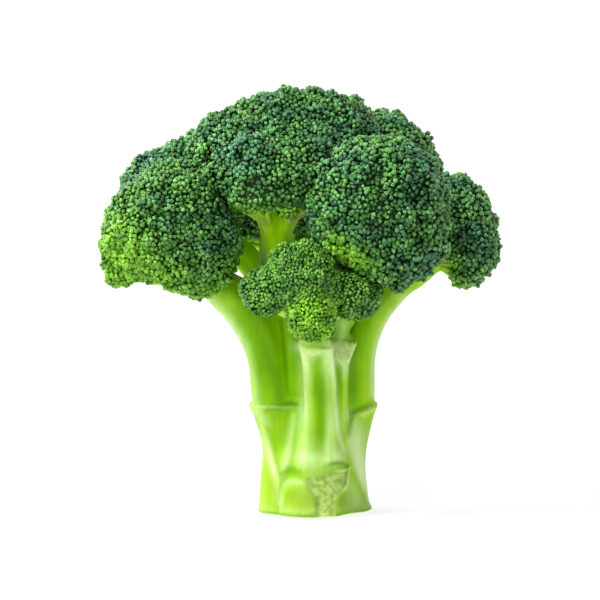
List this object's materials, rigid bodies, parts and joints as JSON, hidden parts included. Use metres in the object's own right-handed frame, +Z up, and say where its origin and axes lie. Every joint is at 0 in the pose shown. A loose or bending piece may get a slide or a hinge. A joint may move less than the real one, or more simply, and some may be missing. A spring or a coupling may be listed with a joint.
{
  "type": "broccoli head",
  "caption": "Fresh head of broccoli on its cut stem: a ribbed, branching pale green stalk under domed dark green florets covered in buds.",
  "frame": {"origin": "centre of the flat cut face at the foot of the stem", "axes": "+Z up the stem to the crown, +X to the right and +Y to the back, seen from the side with the small low floret"},
  "size_m": [0.1607, 0.1349, 0.17],
  "materials": {
    "stalk": "fresh pale green stem skin, smooth and slightly waxy",
    "buds": "closed dark green flower buds with a dull waxy bloom"
  },
  "bodies": {
    "root": {"stalk": "stalk", "floret_top": "buds", "floret_left_front": "buds", "floret_left_back": "buds", "floret_right_front": "buds", "floret_right": "buds", "floret_right_back": "buds", "floret_back": "buds", "floret_front": "buds"}
  },
  "joints": []
}
